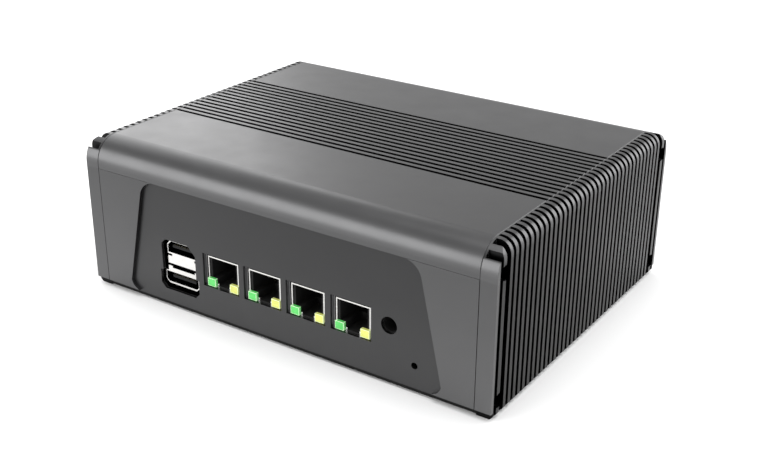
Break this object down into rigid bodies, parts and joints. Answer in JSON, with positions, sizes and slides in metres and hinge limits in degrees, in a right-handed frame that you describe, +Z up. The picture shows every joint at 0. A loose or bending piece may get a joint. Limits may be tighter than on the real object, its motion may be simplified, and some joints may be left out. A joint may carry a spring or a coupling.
{
  "type": "firewall appliance",
  "caption": "Fanless desktop network firewall in a finned aluminium case with network, video and power sockets on a recessed front.",
  "frame": {"origin": "centre of the footprint, on the plane the feet stand on", "axes": "+X to the right seen from the front, +Y from front to rear, +Z up"},
  "size_m": [0.184, 0.1408, 0.0636],
  "materials": {
    "grey_anodised": "bead blasted and anodised mid grey, satin",
    "dark_anodised": "bead blasted and anodised dark grey, matt",
    "black_coated_steel": "black powder coat",
    "black_rubber": "matt",
    "zinc_steel": "zinc plated",
    "nickel_steel": "nickel plated, bright",
    "black_plastic": "moulded, fine texture",
    "gold_contacts": "gold flashed",
    "green_lens": "clear light pipe, lit green",
    "yellow_lens": "clear light pipe, lit yellow",
    "circuit_board": "solder mask, semi gloss",
    "silicon_carrier": "substrate with bare die",
    "thermal_paste": "soft pad",
    "copper": "milled",
    "brass_spacer": "turned"
  },
  "bodies": {
    "case": {"antenna_hole_plugs": "black_rubber", "battery_holder": "black_plastic", "board_screws": "zinc_steel", "board_spacers": "brass_spacer", "bottom_cover": "black_coated_steel", "bottom_cover_screws": "black_coated_steel", "button_board": "circuit_board", "button_board_screws": "zinc_steel", "coin_battery": "nickel_steel", "console_insert": "black_plastic", "console_light_pipes": "yellow_lens", "console_shield": "nickel_steel", "copper_spreader": "copper", "dc_centre_pin": "nickel_steel", "dc_jack_body": "black_plastic", "dc_side_spring": "nickel_steel", "drive_module": "circuit_board", "drive_screw": "zinc_steel", "drive_socket": "black_plastic", "foot_front_left": "black_rubber", "foot_front_right": "black_rubber", "foot_rear_left": "black_rubber", "foot_rear_right": "black_rubber", "front_panel": "dark_anodised", "front_wing_left": "grey_anodised", "front_wing_right": "grey_anodised", "green_light_pipes": "green_lens", "lan_1_insert": "black_plastic", "lan_1_shield": "nickel_steel", "lan_2_insert": "black_plastic", "lan_2_shield": "nickel_steel", "lan_3_insert": "black_plastic", "lan_3_shield": "nickel_steel", "lan_4_insert": "black_plastic", "lan_4_shield": "nickel_steel", "left_side_heatsink": "grey_anodised", "mainboard": "circuit_board", "memory_module": "circuit_board", "memory_socket": "black_plastic", "network_chips": "black_plastic", "panel_screws": "zinc_steel", "power_button_housing": "nickel_steel", "power_button_nut": "nickel_steel", "power_coils": "black_plastic", "processor": "silicon_carrier", "rear_panel": "dark_anodised", "reset_switch_body": "black_plastic", "right_side_heatsink": "grey_anodised", "side_screws": "black_coated_steel", "socket_contacts": "gold_contacts", "thermal_pad": "thermal_paste", "top_heatsink": "grey_anodised", "usb_socket_shell": "nickel_steel", "usb_tongues": "black_plastic", "video_contacts": "gold_contacts", "video_socket_shell": "nickel_steel", "video_tongues": "black_plastic", "yellow_light_pipes": "yellow_lens"},
    "power_button": {"power_button_cap": "nickel_steel"},
    "reset_button": {"reset_plunger": "black_plastic"}
  },
  "joints": [
    {"name": "power_press", "type": "slide", "parent": "case", "child": "power_button", "axis": [0, -1, 0], "range_m": [0, 0.0015], "stiffness_N_per_m": 600},
    {"name": "reset_press", "type": "slide", "parent": "case", "child": "reset_button", "axis": [0, 1, 0], "range_m": [0, 0.0003], "stiffness_N_per_m": 300}
  ]
}
